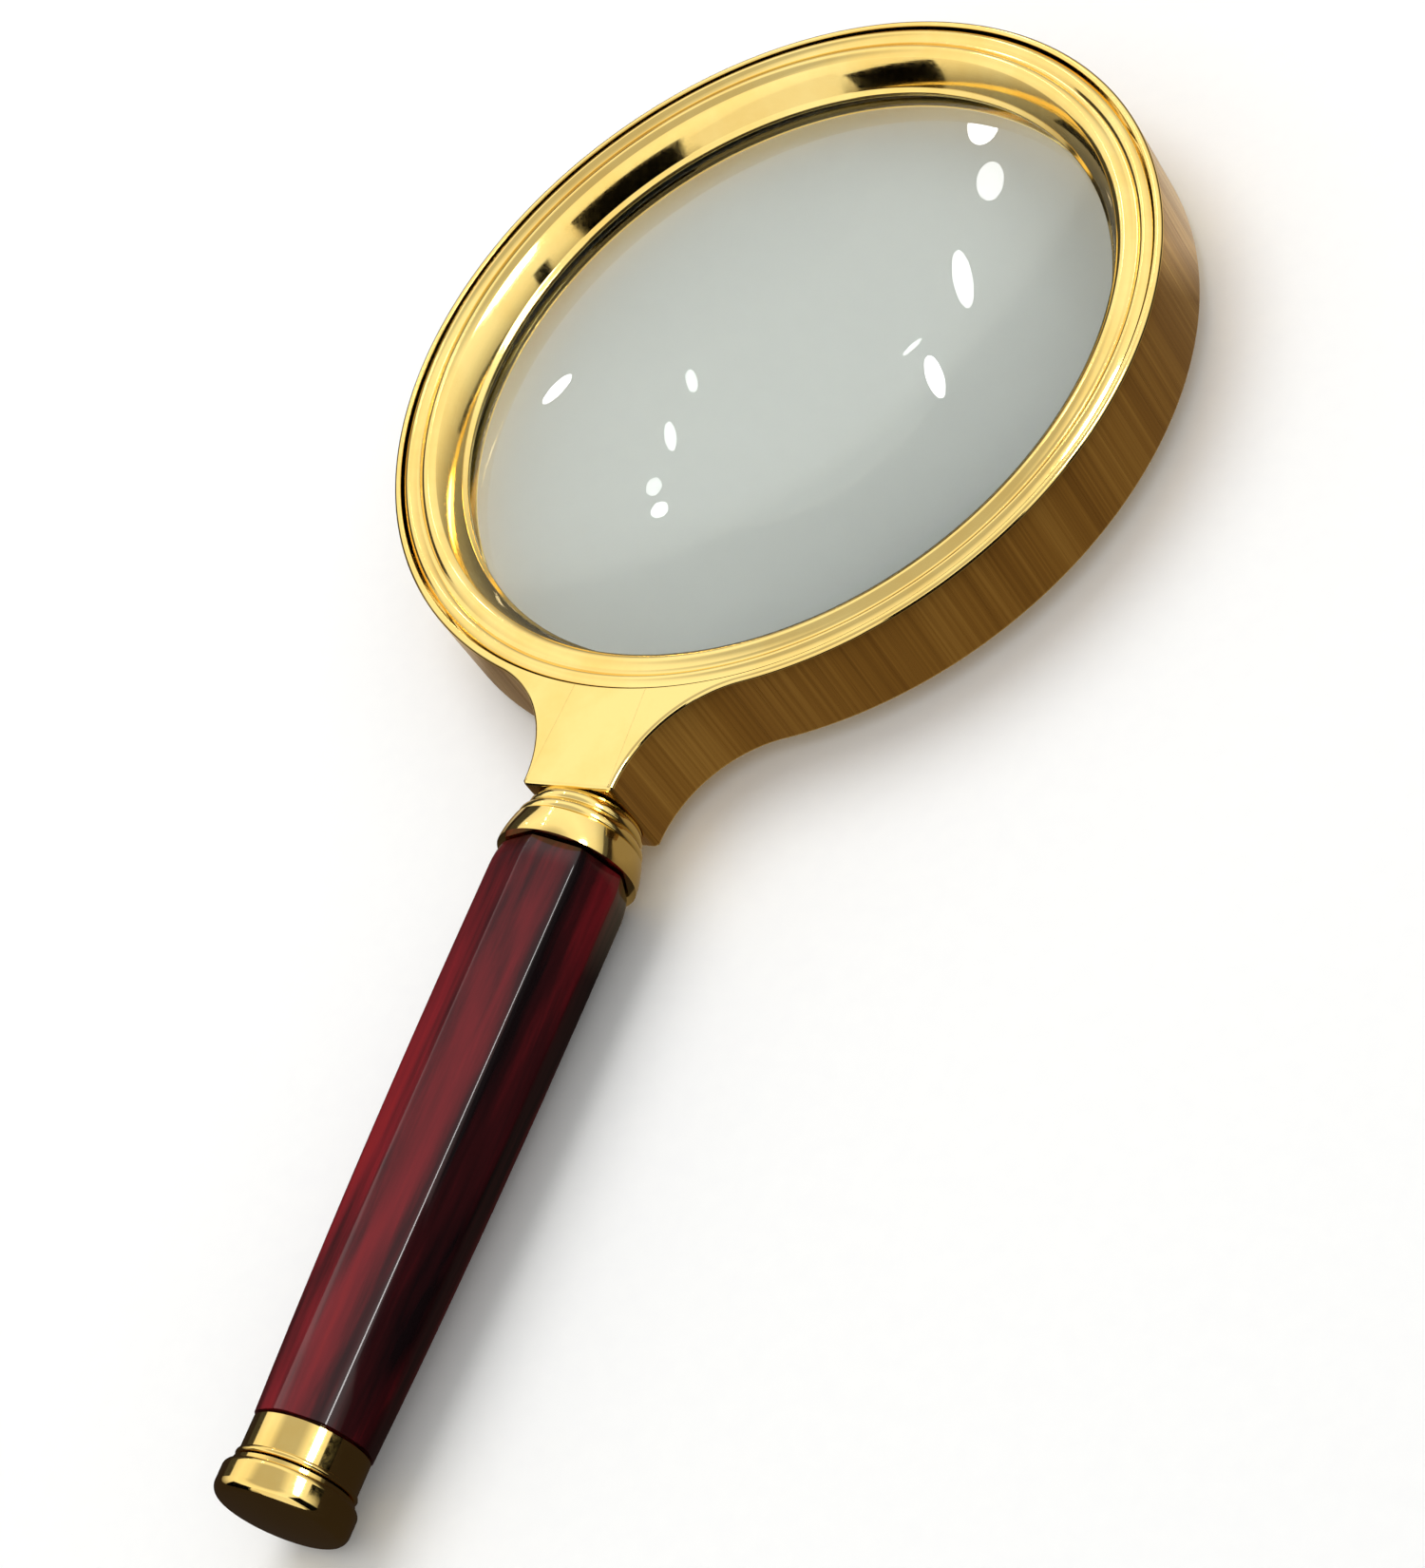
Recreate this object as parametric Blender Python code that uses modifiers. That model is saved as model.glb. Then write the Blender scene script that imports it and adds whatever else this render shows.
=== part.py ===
# Round hand magnifier: a gilt cast ring with a flared neck, a glass lens held by a
# beaded front bezel, and an eight-sided handle clamped on a tie rod by a screwed end cap.
#
# Row frame: the magnifier lies face up. +Z is the lens axis, the handle runs along -Y,
# X is the axis of symmetry, and the origin is under the middle of the whole object.

import math

import bmesh
import bpy
from mathutils import Vector

# Driving dimensions, in metres.

FIT_GAP = 0.0003  # left between pieces that touch

LENS_RADIUS = 0.0450
LENS_EDGE = 0.0018  # thickness of the ground edge
LENS_SURFACE_RADIUS = 0.260
LENS_HOLD = 0.0037  # glass covered by the ring, measured inwards from its edge

RING_DEPTH = 0.0118
RING_SHOULDER = 0.0028  # ledge that the bezel stands on
RING_RIM_WALL = 0.0009
RING_RIM_DROP = 0.00015  # front of the rim below the crest of the bezel's beads
RING_EDGE_ROUND = 0.0005
REAR_LIP = 0.0025
REAR_MOUTH_FLARE = 0.0021

GASKET_WIDTH = 0.0024
GASKET_THICKNESS = 0.0006

BEZEL_MOUTH_FLARE = 0.0021
BEZEL_GROOVE_DEPTH = 0.0005
BEZEL_OUTER_BEAD = 0.0018  # width of the bead next to the rim
BEZEL_GROOVE_WIDTH = 0.0004
BEZEL_SIGHT_LIP = 0.0005

NECK_REACH = 0.0122  # from the outside of the ring to the end of the neck
NECK_HALF_WIDTH = 0.0061
NECK_FLARE_RADIUS = 0.0155
NECK_EDGE_ROUND = 0.00035
ROD_SOCKET_DEPTH = 0.0090

ROD_RADIUS = 0.0020
ROD_CLEARANCE = 0.0004
ROD_THREAD_PITCH = 0.0007
ROD_THREAD_LENGTH = 0.0070

FERRULE_LENGTH = 0.0067
FERRULE_NECK_RADIUS = 0.0062
FERRULE_HANDLE_RADIUS = 0.00815
FERRULE_BEAD_WIDTH = 0.0016  # of each narrow bead, between the neck and the wide band
FERRULE_BEADS = 2
FERRULE_BEAD_RISE = 0.00025

HANDLE_LENGTH = 0.0688
HANDLE_CORNER_RADIUS = 0.00795  # over the sharp corners, near the ferrule
HANDLE_END_CORNER_RADIUS = 0.0070  # where the flats would meet at the end collar
HANDLE_END_RADIUS = 0.00665  # the turned bar that rounds those corners off
HANDLE_TURNED_SPARE = 0.00005
HANDLE_TOP_EASE = 0.0004  # corners turned down where they meet the ferrule
HANDLE_TOP_EASE_LENGTH = 0.0030
HANDLE_TAPER_POWER = 2.3
TENON_RADIUS = 0.0052
TENON_LENGTH = 0.0030

COLLAR_LENGTH = 0.0045
COLLAR_WALL = 0.0010  # round the tenon
COLLAR_BEAD_RISE = 0.00025
COLLAR_BEAD_WIDTH = 0.0007

WASHER_RADIUS = 0.0040
WASHER_THICKNESS = 0.0005

CAP_LENGTH = 0.0047
CAP_WAIST_RADIUS = 0.0063
CAP_WAIST_LENGTH = 0.0004
CAP_FLANGE_RADIUS = 0.00745
CAP_FLANGE_UPPER_ROUND = 0.0008
CAP_FLANGE_LOWER_ROUND = 0.0013
CAP_DOME_RISE = 0.0005
CAP_DOME_BREAK = 0.6  # share of the dome's radius where its slope changes
CAP_DOME_BREAK_RISE = 0.35  # share of the rise still to come there

CUT_OVERRUN = 0.001  # cutters pass this far beyond the face they start from
FACETS = 8
RING_STEPS = 96
LENS_STEPS = 80
TURNED_STEPS = 48
SMALL_TURNED_STEPS = 24
BEAD_STEPS = 6
NECK_STEPS = 10
LENS_RINGS = 6
HANDLE_STEPS = 12

# Sizes that follow from them.

sight_radius = LENS_RADIUS - LENS_HOLD
lens_pocket_radius = LENS_RADIUS + FIT_GAP
pocket_radius = lens_pocket_radius + RING_SHOULDER
ring_radius = pocket_radius + RING_RIM_WALL
bezel_radius = pocket_radius - FIT_GAP
bezel_mouth_radius = sight_radius + BEZEL_MOUTH_FLARE

widest_radius = max(HANDLE_CORNER_RADIUS, FERRULE_HANDLE_RADIUS, CAP_FLANGE_RADIUS)
axis_height = max(widest_radius, RING_DEPTH / 2)
front_height = axis_height + RING_DEPTH / 2
back_height = axis_height - RING_DEPTH / 2
rim_height = front_height - RING_RIM_DROP


def sagitta(radius):
    return LENS_SURFACE_RADIUS - math.sqrt(LENS_SURFACE_RADIUS**2 - radius**2)


def lens_drop(radius):
    """How far the glass has fallen from its edge's level to this radius, going inwards."""
    return sagitta(LENS_RADIUS) - sagitta(radius)


gasket_inner_radius = lens_pocket_radius - FIT_GAP - GASKET_WIDTH
ledge_height = back_height + REAR_LIP
gasket_height = ledge_height + FIT_GAP
gasket_top = gasket_height + GASKET_THICKNESS
lens_edge_back = gasket_top + FIT_GAP + lens_drop(gasket_inner_radius)
lens_edge_front = lens_edge_back + LENS_EDGE
bezel_foot = lens_edge_front + lens_drop(sight_radius) + FIT_GAP
shoulder_height = bezel_foot - FIT_GAP

# Stations along the handle's axis, measured from the middle of the ring.

neck_end = ring_radius + NECK_REACH
ferrule_start = neck_end + FIT_GAP
handle_start = ferrule_start + FERRULE_LENGTH + FIT_GAP
handle_end = handle_start + HANDLE_LENGTH
collar_start = handle_end + FIT_GAP
collar_end = collar_start + COLLAR_LENGTH
cap_start = collar_end + FIT_GAP
cap_end = cap_start + CAP_LENGTH
rod_start = neck_end - ROD_SOCKET_DEPTH + FIT_GAP
rod_end = cap_end - CAP_DOME_RISE - CAP_FLANGE_LOWER_ROUND
rod_bore = ROD_RADIUS + ROD_CLEARANCE
tenon_recess = TENON_RADIUS + FIT_GAP
collar_radius = tenon_recess + COLLAR_WALL

ring_centre_y = (cap_end - ring_radius) / 2
ring_place = Vector((0.0, ring_centre_y, 0.0))
axis_place = Vector((0.0, ring_centre_y, axis_height))


# Scene helpers.


def clear_scene():
    for thing in list(bpy.data.objects):
        bpy.data.objects.remove(thing, do_unlink=True)


def new_collection(name):
    collection = bpy.data.collections.new(name)
    bpy.context.scene.collection.children.link(collection)
    return collection


def new_material(name, colour, roughness, metallic):
    material = bpy.data.materials.new(name)
    material.use_nodes = True
    shader = material.node_tree.nodes["Principled BSDF"]
    shader.inputs["Base Color"].default_value = (*colour, 1.0)
    shader.inputs["Roughness"].default_value = roughness
    shader.inputs["Metallic"].default_value = metallic
    return material


def add_object(name, mesh, collection, material=None):
    thing = bpy.data.objects.new(name, mesh)
    collection.objects.link(thing)
    if material:
        mesh.materials.append(material)
    return thing


def as_cutter(thing):
    thing.hide_render = True
    thing.display_type = "WIRE"
    return thing


def combine(thing, other, operation):
    modifier = thing.modifiers.new(operation.title(), "BOOLEAN")
    modifier.operation = operation
    modifier.object = other
    modifier.solver = "EXACT"


# Outlines, as (radius, height) points.


def arc(centre_r, centre_h, radius, start, end, steps):
    points = []
    for i in range(steps + 1):
        angle = math.radians(start + (end - start) * i / steps)
        points.append((centre_r + radius * math.cos(angle), centre_h + radius * math.sin(angle)))
    return points


def crown(inner, outer, foot, rise, steps):
    """A shallow bead: half a sine wave of this rise between two radii."""
    points = []
    for i in range(steps + 1):
        share = i / steps
        radius = inner + (outer - inner) * share
        points.append((radius, foot + rise * math.sin(math.pi * share)))
    return points


def turned(name, profile, collection, material, steps, closed):
    """Turn a profile about the object's Z. It runs outwards on top and down its outer side."""
    mesh = bpy.data.meshes.new(name)
    edges = [(i, i + 1) for i in range(len(profile) - 1)]
    if closed:
        edges.append((len(profile) - 1, 0))
    mesh.from_pydata([(r, 0.0, h) for r, h in profile], edges, [])
    thing = add_object(name, mesh, collection, material)
    screw = thing.modifiers.new("Turn", "SCREW")
    screw.axis = "Z"
    screw.angle = 2 * math.pi
    screw.steps = steps
    screw.render_steps = steps
    screw.use_merge_vertices = True
    screw.merge_threshold = 0.00001
    screw.use_smooth_shade = True
    return thing


def along_handle(thing, station):
    """Stand a turned piece on the handle's axis, its own +Z pointing at the ring."""
    thing.rotation_euler = (math.radians(-90), 0.0, 0.0)
    thing.location = axis_place + Vector((0.0, -station, 0.0))
    return thing


# The ring end.


def ring_profile():
    outer_foot = back_height + RING_EDGE_ROUND
    rear_mouth = sight_radius + REAR_MOUTH_FLARE
    profile = [(pocket_radius, rim_height - RING_EDGE_ROUND / 2)]
    profile += [(pocket_radius + RING_EDGE_ROUND / 2, rim_height)]
    corner_r = ring_radius - RING_EDGE_ROUND
    profile += arc(corner_r, rim_height - RING_EDGE_ROUND, RING_EDGE_ROUND, 90, 0, 3)
    profile += arc(corner_r, outer_foot, RING_EDGE_ROUND, 0, -90, 3)
    profile += [(rear_mouth + RING_EDGE_ROUND, back_height)]
    profile += [(rear_mouth, back_height + RING_EDGE_ROUND)]
    profile += [(sight_radius, ledge_height - RING_EDGE_ROUND)]
    profile += [(sight_radius, ledge_height)]
    profile += [(lens_pocket_radius, ledge_height)]
    profile += [(lens_pocket_radius, shoulder_height)]
    profile += [(pocket_radius, shoulder_height)]
    return profile


def flare_points(steps):
    """The neck's hollow side at +X, from the ring down to the parallel end."""
    centre_x = NECK_HALF_WIDTH + NECK_FLARE_RADIUS
    reach = ring_radius + NECK_FLARE_RADIUS
    centre_y = -math.sqrt(reach**2 - centre_x**2)
    start = math.degrees(math.atan2(-centre_y, -centre_x))
    return arc(centre_x, centre_y, NECK_FLARE_RADIUS, start, 180, steps)


def neck_outline(steps):
    inside = ring_radius - RING_RIM_WALL / 2
    side = flare_points(steps) + [(NECK_HALF_WIDTH, -neck_end)]
    left = [(-x, y) for x, y in reversed(side)]
    spread = math.degrees(math.asin(side[0][0] / ring_radius))
    root = arc(0.0, 0.0, inside, 270 - spread, 270 + spread, 2 * steps)
    return side + left + root


def add_neck(cutters):
    outline = bpy.data.curves.new("neck_outline", "CURVE")
    outline.dimensions = "2D"
    outline.fill_mode = "BOTH"
    outline.extrude = (rim_height - back_height) / 2
    points = neck_outline(NECK_STEPS)
    spline = outline.splines.new("POLY")
    spline.points.add(len(points) - 1)
    for point, (x, y) in zip(spline.points, points):
        point.co = (x, y, 0.0, 1.0)
    spline.use_cyclic_u = True
    guide = bpy.data.objects.new("neck_outline", outline)
    cutters.objects.link(guide)
    guide.location = ring_place + Vector((0.0, 0.0, (rim_height + back_height) / 2))
    bpy.context.view_layer.update()
    evaluated = guide.evaluated_get(bpy.context.evaluated_depsgraph_get())
    mesh = bpy.data.meshes.new_from_object(evaluated)
    weld(mesh)
    neck = as_cutter(add_object("neck", mesh, cutters))
    neck.matrix_world = guide.matrix_world.copy()
    bpy.data.objects.remove(guide, do_unlink=True)
    edges = neck.modifiers.new("Edges", "BEVEL")
    edges.width = NECK_EDGE_ROUND
    edges.segments = 1
    edges.limit_method = "ANGLE"
    edges.angle_limit = math.radians(60)
    return neck


def weld(mesh):
    cleaned = bmesh.new()
    cleaned.from_mesh(mesh)
    bmesh.ops.remove_doubles(cleaned, verts=cleaned.verts, dist=0.000001)
    bmesh.ops.recalc_face_normals(cleaned, faces=cleaned.faces)
    cleaned.to_mesh(mesh)
    cleaned.free()


def add_rod_socket(cutters):
    length = ROD_SOCKET_DEPTH + CUT_OVERRUN
    bpy.ops.mesh.primitive_cylinder_add(
        vertices=SMALL_TURNED_STEPS, radius=rod_bore, depth=length
    )
    socket = as_cutter(bpy.context.active_object)
    socket.name = "rod_socket"
    move_to(socket, cutters)
    along_handle(socket, neck_end + (CUT_OVERRUN - ROD_SOCKET_DEPTH) / 2)
    return socket


def move_to(thing, collection):
    for owner in list(thing.users_collection):
        owner.objects.unlink(thing)
    collection.objects.link(thing)


def make_frame_body(parts, cutters, gilt):
    body = turned("frame_body", ring_profile(), parts, gilt, RING_STEPS, closed=True)
    body.location = ring_place
    combine(body, add_neck(cutters), "UNION")
    combine(body, add_rod_socket(cutters), "DIFFERENCE")
    return body


def make_bezel(parts, gilt):
    groove_outer = bezel_radius - BEZEL_OUTER_BEAD
    groove_inner = groove_outer - BEZEL_GROOVE_WIDTH
    groove_foot = front_height - BEZEL_GROOVE_DEPTH
    rise = BEZEL_GROOVE_DEPTH
    profile = crown(bezel_mouth_radius, groove_inner, groove_foot, rise, BEAD_STEPS)
    profile += crown(groove_outer, bezel_radius, groove_foot, rise, BEAD_STEPS)
    profile += [(bezel_radius, bezel_foot), (sight_radius, bezel_foot)]
    profile += [(sight_radius, bezel_foot + BEZEL_SIGHT_LIP)]
    profile += [(sight_radius + BEZEL_SIGHT_LIP, bezel_foot + 2 * BEZEL_SIGHT_LIP)]
    bezel = turned("front_bezel", profile, parts, gilt, RING_STEPS, closed=True)
    bezel.location = ring_place
    return bezel


def make_lens(parts, glass):
    front = []
    for i in range(LENS_RINGS + 1):
        radius = LENS_RADIUS * i / LENS_RINGS
        front.append((radius, lens_edge_front + lens_drop(radius)))
    middle = (lens_edge_front + lens_edge_back) / 2
    back = [(radius, 2 * middle - height) for radius, height in reversed(front)]
    lens = turned("lens", front + back, parts, glass, LENS_STEPS, closed=False)
    lens.location = ring_place
    return lens


def make_gasket(parts, rubber):
    outer = lens_pocket_radius - FIT_GAP
    profile = [(gasket_inner_radius, gasket_top), (outer, gasket_top)]
    profile += [(outer, gasket_height), (gasket_inner_radius, gasket_height)]
    gasket = turned("lens_gasket", profile, parts, rubber, LENS_STEPS, closed=True)
    gasket.location = ring_place
    return gasket


# The handle end. These pieces are turned about the handle's axis; their own heights run
# from 0 at the end nearer the ring to minus their length at the far end.


def make_tie_rod(parts, steel):
    length = rod_end - rod_start
    tip = ROD_THREAD_PITCH / 2
    core = ROD_RADIUS - tip / 2
    thread = ROD_THREAD_LENGTH
    profile = [(0.0, 0.0), (core, 0.0), (ROD_RADIUS, -tip), (ROD_RADIUS, -thread)]
    profile += [(core, -thread - tip), (core, tip + thread - length)]
    profile += [(ROD_RADIUS, thread - length), (ROD_RADIUS, tip - length)]
    profile += [(core, -length), (0.0, -length)]
    rod = turned("tie_rod", profile, parts, steel, SMALL_TURNED_STEPS, closed=False)
    return along_handle(rod, rod_start)


def make_ferrule(parts, gilt):
    """Narrow beads that grow from the neck, then a wide band as broad as the handle."""
    grown = (FERRULE_HANDLE_RADIUS - FERRULE_NECK_RADIUS) / (FERRULE_BEADS + 1)
    recess = TENON_LENGTH + FIT_GAP
    profile = [(rod_bore, 0.0), (FERRULE_NECK_RADIUS, 0.0)]
    for i in range(FERRULE_BEADS):
        foot = FERRULE_NECK_RADIUS + i * grown
        for share in (0.2, 0.5, 0.8, 1.0):
            swell = FERRULE_BEAD_RISE * math.sin(math.pi * share)
            profile.append((foot + grown * share**2 + swell, -FERRULE_BEAD_WIDTH * (i + share)))
    band = FERRULE_LENGTH - FERRULE_BEADS * FERRULE_BEAD_WIDTH
    foot = FERRULE_HANDLE_RADIUS - grown
    for share in (0.15, 0.4, 0.7, 1.0):
        radius = foot + grown * math.sin(math.pi / 2 * share)
        profile.append((radius, -FERRULE_LENGTH + band * (1 - share)))
    profile += [(tenon_recess, -FERRULE_LENGTH), (tenon_recess, recess - FERRULE_LENGTH)]
    profile += [(rod_bore, recess - FERRULE_LENGTH)]
    ferrule = turned("ferrule", profile, parts, gilt, TURNED_STEPS, closed=True)
    return along_handle(ferrule, ferrule_start)


def handle_profile(start_radius, end_radius):
    """An accelerating taper, eased down where it meets the ferrule."""
    ease_share = HANDLE_TOP_EASE_LENGTH / HANDLE_LENGTH
    shares = [0.0, ease_share / 4, ease_share / 2, ease_share]
    shares += [i / HANDLE_STEPS for i in range(1, HANDLE_STEPS + 1)]
    points = []
    for share in shares:
        taper = (start_radius - end_radius) * share**HANDLE_TAPER_POWER
        ease = HANDLE_TOP_EASE * max(0.0, 1.0 - share / ease_share) ** 2
        points.append((start_radius - taper - ease, -share * HANDLE_LENGTH))
    return [(0.0, 0.0)] + points + [(0.0, -HANDLE_LENGTH)]


def make_handle(parts, cutters, rosewood):
    """An eight-sided bar rounded by a turned one, bored, with a tenon at each end."""
    faceted = handle_profile(HANDLE_CORNER_RADIUS, HANDLE_END_CORNER_RADIUS)
    handle = turned("handle_sleeve", faceted, parts, rosewood, FACETS, closed=False)
    along_handle(handle, handle_start)
    round_radius = HANDLE_CORNER_RADIUS + HANDLE_TURNED_SPARE
    outline = handle_profile(round_radius, HANDLE_END_RADIUS)
    bar = turned("handle_bar", outline, cutters, None, TURNED_STEPS, closed=False)
    as_cutter(along_handle(bar, handle_start))
    combine(handle, bar, "INTERSECT")
    tenon_span = HANDLE_LENGTH + 2 * TENON_LENGTH
    for name, radius, length, operation in (
        ("handle_tenons", TENON_RADIUS, tenon_span, "UNION"),
        ("handle_bore", rod_bore, tenon_span + 2 * CUT_OVERRUN, "DIFFERENCE"),
    ):
        bpy.ops.mesh.primitive_cylinder_add(
            vertices=SMALL_TURNED_STEPS, radius=radius, depth=length
        )
        shape = as_cutter(bpy.context.active_object)
        shape.name = name
        move_to(shape, cutters)
        along_handle(shape, (handle_start + handle_end) / 2)
        combine(handle, shape, operation)
    return handle


def make_collar(parts, gilt):
    """A cup over the handle's lower tenon, with a seat for the washer in its outer face."""
    floor = -(TENON_LENGTH + FIT_GAP)
    bead_start = COLLAR_BEAD_WIDTH - COLLAR_LENGTH
    bead_radius = collar_radius + COLLAR_BEAD_RISE
    profile = [(tenon_recess, 0.0), (collar_radius, 0.0), (collar_radius, bead_start)]
    profile += [(bead_radius, bead_start - COLLAR_BEAD_WIDTH / 4)]
    profile += [(bead_radius, -COLLAR_LENGTH + COLLAR_BEAD_WIDTH / 4)]
    profile += [(collar_radius, -COLLAR_LENGTH)]
    profile += [(rod_bore, -COLLAR_LENGTH), (rod_bore, floor), (tenon_recess, floor)]
    collar = turned("end_collar", profile, parts, gilt, TURNED_STEPS, closed=True)
    return along_handle(collar, collar_start)


def make_cap(parts, gilt):
    """The screwed cap: a waist, a thick rounded flange, a slightly domed end, a tapped hole."""
    hole_floor = -(rod_end + FIT_GAP - cap_start)
    upper_r = CAP_FLANGE_RADIUS - CAP_FLANGE_UPPER_ROUND
    upper_h = -CAP_WAIST_LENGTH - CAP_FLANGE_UPPER_ROUND
    lower_r = CAP_FLANGE_RADIUS - CAP_FLANGE_LOWER_ROUND
    lower_h = CAP_FLANGE_LOWER_ROUND + CAP_DOME_RISE - CAP_LENGTH
    seat = WASHER_THICKNESS + FIT_GAP
    seat_radius = WASHER_RADIUS + FIT_GAP
    profile = [(seat_radius, 0.0), (CAP_WAIST_RADIUS, 0.0)]
    profile += [(CAP_WAIST_RADIUS, -CAP_WAIST_LENGTH)]
    profile += arc(upper_r, upper_h, CAP_FLANGE_UPPER_ROUND, 80, 0, 4)
    profile += arc(lower_r, lower_h, CAP_FLANGE_LOWER_ROUND, 0, -75, 5)
    break_h = CAP_DOME_RISE * CAP_DOME_BREAK_RISE - CAP_LENGTH
    profile += [(lower_r * CAP_DOME_BREAK, break_h), (0.0, -CAP_LENGTH)]
    profile += [(0.0, hole_floor), (rod_bore, hole_floor), (rod_bore, -seat)]
    profile += [(seat_radius, -seat)]
    cap = turned("end_cap", profile, parts, gilt, TURNED_STEPS, closed=True)
    return along_handle(cap, cap_start)


def make_washer(parts, steel):
    profile = [(rod_bore, 0.0), (WASHER_RADIUS, 0.0)]
    profile += [(WASHER_RADIUS, -WASHER_THICKNESS), (rod_bore, -WASHER_THICKNESS)]
    washer = turned("cap_washer", profile, parts, steel, SMALL_TURNED_STEPS, closed=True)
    return along_handle(washer, cap_start)


def main():
    clear_scene()
    parts = new_collection("magnifying_glass")
    cutters = new_collection("cutters")
    gilt = new_material("gilt", (0.78, 0.57, 0.18), 0.18, 1.0)
    glass = new_material("lens_glass", (0.90, 0.95, 0.92), 0.03, 0.0)
    rosewood = new_material("rosewood_lacquer", (0.16, 0.015, 0.022), 0.12, 0.0)
    steel = new_material("zinced_steel", (0.58, 0.58, 0.60), 0.35, 1.0)
    rubber = new_material("gasket_rubber", (0.03, 0.03, 0.03), 0.8, 0.0)
    make_frame_body(parts, cutters, gilt)
    make_bezel(parts, gilt)
    make_lens(parts, glass)
    make_gasket(parts, rubber)
    make_tie_rod(parts, steel)
    make_ferrule(parts, gilt)
    make_handle(parts, cutters, rosewood)
    make_collar(parts, gilt)
    make_cap(parts, gilt)
    make_washer(parts, steel)


main()
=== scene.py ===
import math

import bmesh
import bpy
import numpy as np
from mathutils import Matrix, Vector


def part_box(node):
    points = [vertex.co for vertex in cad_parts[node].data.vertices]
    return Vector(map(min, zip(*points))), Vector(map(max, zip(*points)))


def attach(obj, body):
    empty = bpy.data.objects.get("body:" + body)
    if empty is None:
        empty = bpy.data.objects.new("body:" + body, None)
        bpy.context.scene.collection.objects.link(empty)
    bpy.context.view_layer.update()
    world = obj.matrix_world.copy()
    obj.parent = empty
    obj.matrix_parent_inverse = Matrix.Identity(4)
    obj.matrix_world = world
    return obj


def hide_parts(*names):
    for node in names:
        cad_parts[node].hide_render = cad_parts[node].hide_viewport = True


# A hand magnifier lying face up: gilt ring and neck, beaded bezel, clear lens,
# eight-sided rosewood handle between a stepped ferrule and a screwed end cap.

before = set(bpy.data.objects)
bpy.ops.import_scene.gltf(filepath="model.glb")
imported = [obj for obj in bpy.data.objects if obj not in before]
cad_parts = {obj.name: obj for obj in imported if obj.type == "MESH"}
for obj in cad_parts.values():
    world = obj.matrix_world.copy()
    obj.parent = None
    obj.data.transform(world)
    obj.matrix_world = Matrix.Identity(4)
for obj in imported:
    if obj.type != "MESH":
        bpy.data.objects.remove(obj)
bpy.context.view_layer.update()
print("frame loaded:", len(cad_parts), "nodes")

mm = 0.001
boreRadius = 2.4 * mm  # the hole for the tie rod
recessGap = 0.3 * mm  # left round and beyond a tenon
sharpAngle = math.radians(38)  # edges steeper than this stay sharp
weldDistance = 1e-7


# Places read from the frame

def boxOf(node):
    low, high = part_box(node)
    return np.array(low), np.array(high)


bezelLow, bezelHigh = boxOf("front_bezel")
bodyLow, bodyHigh = boxOf("frame_body")
lensLow, lensHigh = boxOf("lens")
handleLow, handleHigh = boxOf("handle_sleeve")
ferruleLow, ferruleHigh = boxOf("ferrule")
collarLow, collarHigh = boxOf("end_collar")
capLow, capHigh = boxOf("end_cap")
washerLow, washerHigh = boxOf("cap_washer")
gasketLow, gasketHigh = boxOf("lens_gasket")
rodLow, rodHigh = boxOf("tie_rod")

ringY = (bezelLow[1] + bezelHigh[1]) / 2
axisZ = (bodyLow[2] + bezelHigh[2]) / 2
ringPlace = np.array([0.0, ringY, 0.0])


# Mesh building

def gridMesh(name, points, closeU, closeV, materials, rowMaterial=None, weld=False):
    # points is (nu, nv, 3); neighbours along both ways are joined into quads
    nu, nv = points.shape[:2]
    a, b = np.meshgrid(
        np.arange(nu if closeU else nu - 1), np.arange(nv if closeV else nv - 1), indexing="ij"
    )
    a2, b2 = (a + 1) % nu, (b + 1) % nv
    quads = np.stack([a * nv + b, a2 * nv + b, a2 * nv + b2, a * nv + b2], -1).reshape(-1, 4)
    flat = points.reshape(-1, 3)
    p, q, r, s = (flat[quads[:, i]] for i in range(4))
    volume = (p * np.cross(q, r)).sum() + (p * np.cross(r, s)).sum()
    if volume < 0:  # turn the faces outwards
        quads = quads[:, ::-1]
    mesh = bpy.data.meshes.new(name)
    mesh.from_pydata(flat.tolist(), [], quads.tolist())
    for material in materials:
        mesh.materials.append(material)
    if rowMaterial is not None:
        index = np.asarray(rowMaterial, np.int32)[b.reshape(-1)]
        mesh.polygons.foreach_set("material_index", index)
    if weld:
        work = bmesh.new()
        work.from_mesh(mesh)
        bmesh.ops.remove_doubles(work, verts=work.verts, dist=weldDistance)
        work.to_mesh(mesh)
        work.free()
    mesh.shade_smooth()
    mesh.set_sharp_from_angle(angle=sharpAngle)
    thing = bpy.data.objects.new(name, mesh)
    bpy.context.scene.collection.objects.link(thing)
    return thing


cornering = {
    "steps": 5,
    "mostReach": 0.42,  # share of a neighbouring side that a rounding may take
    "spare": 0.1,  # share of the rounding at which the extra point stands off
}


def roundedOutline(corners, closed=True):
    # corners are (radius, height, rounding); each corner becomes a quadratic arc that starts
    # and ends at its rounding from the corner, with one more point just beyond on either side
    corners = np.array(corners, float)
    count = len(corners)
    out = []
    for i in range(count):
        here, rounding = corners[i, :2], corners[i, 2]
        if not closed and i in (0, count - 1):
            out.append(here[None])
            continue
        before = corners[i - 1, :2] - here
        after = corners[(i + 1) % count, :2] - here
        lengths = np.linalg.norm(before), np.linalg.norm(after)
        reach = min(rounding, cornering["mostReach"] * min(lengths))
        start = here + before / lengths[0] * reach
        end = here + after / lengths[1] * reach
        t = np.linspace(0, 1, cornering["steps"] + 1)[:, None]
        bend = (1 - t) ** 2 * start + 2 * t * (1 - t) * here + t**2 * end
        spare = cornering["spare"] * reach
        first = start + before / lengths[0] * spare
        last = end + after / lengths[1] * spare
        out.append(np.concatenate([first[None], bend, last[None]]))
    return np.concatenate(out)


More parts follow.
